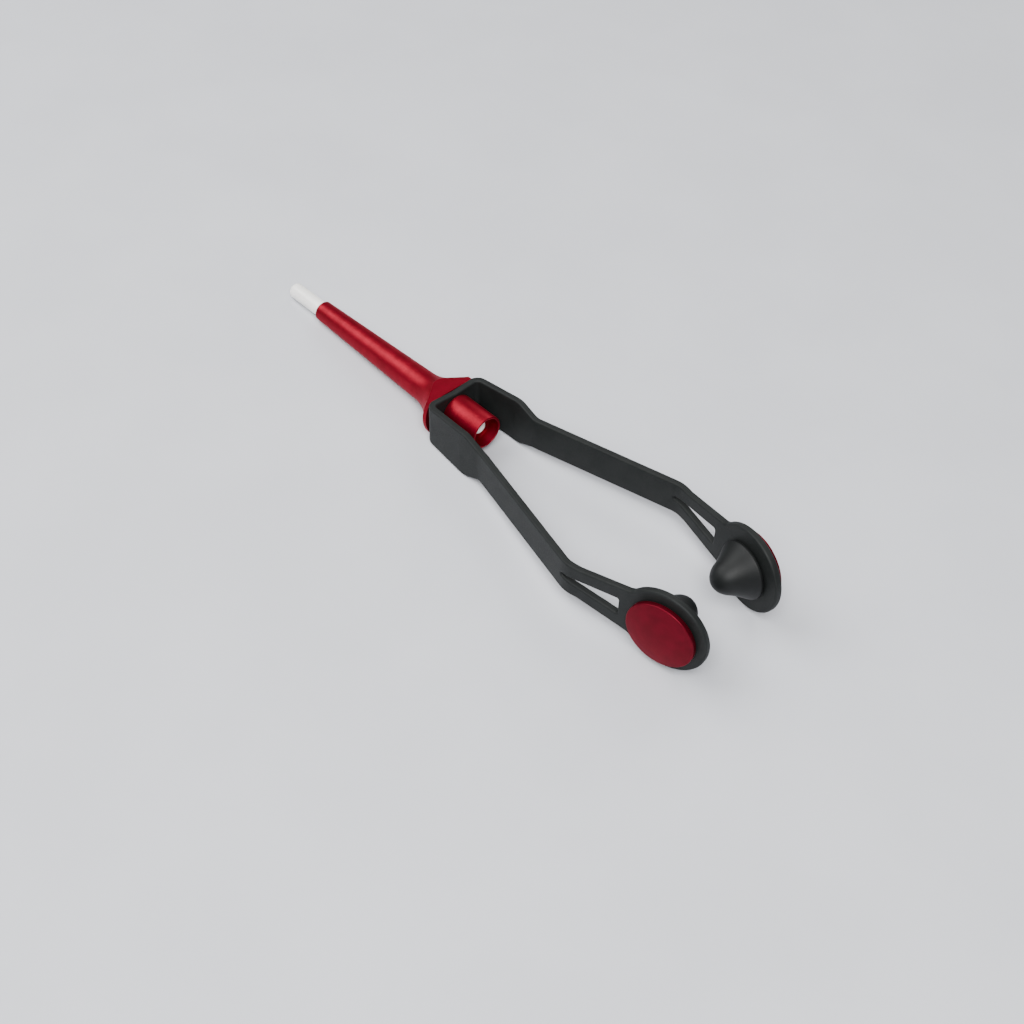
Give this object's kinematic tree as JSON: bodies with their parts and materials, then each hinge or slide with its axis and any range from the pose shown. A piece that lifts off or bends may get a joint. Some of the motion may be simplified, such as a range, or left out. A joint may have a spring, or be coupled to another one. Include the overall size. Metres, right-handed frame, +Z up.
{
  "type": "fly tying bobbin holder",
  "caption": "Sprung yoke with a ceramic-lined thread barrel at its bridge and a braked spool cone on each arm, feeding thread from a spool when tying flies.",
  "frame": {"origin": "on the thread's axis at the front face of the yoke's bridge", "axes": "+X back along the thread from the tip towards the spool, +Z up out of the plane in which the yoke lies, +Y to the right arm"},
  "size_m": [0.1248, 0.03, 0.017],
  "materials": {
    "ceramic": "polished white ceramic",
    "red_anodised": "satin red anodising",
    "yoke_nylon": "fine matt moulding",
    "cone_acetal": "satin black moulding",
    "bush_brass": "turned",
    "steel": "plain",
    "felt": "pressed felt"
  },
  "bodies": {
    "frame": {"yoke_bridge": "yoke_nylon", "barrel": "red_anodised", "ceramic_tube": "ceramic", "sleeve_nut": "red_anodised"},
    "left_arm": {"left_arm": "yoke_nylon", "left_bush": "bush_brass", "left_friction_washer": "felt"},
    "left_spindle": {"left_spool_cone": "cone_acetal", "left_axle": "steel", "left_disc_spring": "steel"},
    "left_thrust_washer": {"left_thrust_washer": "steel"},
    "left_drag_knob": {"left_drag_knob": "red_anodised"},
    "right_arm": {"right_arm": "yoke_nylon", "right_bush": "bush_brass", "right_friction_washer": "felt"},
    "right_spindle": {"right_spool_cone": "cone_acetal", "right_axle": "steel", "right_disc_spring": "steel"},
    "right_thrust_washer": {"right_thrust_washer": "steel"},
    "right_drag_knob": {"right_drag_knob": "red_anodised"}
  },
  "joints": [
    {"name": "left_arm_spread", "type": "hinge", "parent": "frame", "child": "left_arm", "pos_m": [0.0138, -0.0069, 0], "axis": [0, 0, -1], "range_deg": [-2.5, 12], "stiffness_Nm_per_rad": 0.77},
    {"name": "left_spindle_spin", "type": "hinge", "parent": "left_arm", "child": "left_spindle", "pos_m": [0.06657, -0.01062, 0], "axis": [0.1908, -0.9816, 0], "continuous": true},
    {"name": "left_thrust_travel", "type": "slide", "parent": "left_spindle", "child": "left_thrust_washer", "axis": [0.1908, -0.9816, 0], "range_m": [0, 0.000375]},
    {"name": "left_knob_turn", "type": "hinge", "parent": "left_thrust_washer", "child": "left_drag_knob", "pos_m": [0.06657, -0.01062, 0], "axis": [0.1908, -0.9816, 0], "range_deg": [0, 270]},
    {"name": "right_arm_spread", "type": "hinge", "parent": "frame", "child": "right_arm", "pos_m": [0.0138, 0.0069, 0], "axis": [0, 0, 1], "range_deg": [-2.5, 12], "stiffness_Nm_per_rad": 0.77},
    {"name": "right_spindle_spin", "type": "hinge", "parent": "right_arm", "child": "right_spindle", "pos_m": [0.06657, 0.01062, 0], "axis": [0.1908, 0.9816, 0], "continuous": true},
    {"name": "right_thrust_travel", "type": "slide", "parent": "right_spindle", "child": "right_thrust_washer", "axis": [0.1908, 0.9816, 0], "range_m": [0, 0.000375]},
    {"name": "right_knob_turn", "type": "hinge", "parent": "right_thrust_washer", "child": "right_drag_knob", "pos_m": [0.06657, 0.01062, 0], "axis": [0.1908, 0.9816, 0], "range_deg": [0, 270]}
  ],
  "couplings": [
    {"joint": "left_thrust_travel", "follows": "left_knob_turn", "m_per_rad": 0.000079577},
    {"joint": "right_thrust_travel", "follows": "right_knob_turn", "m_per_rad": 0.000079577}
  ]
}
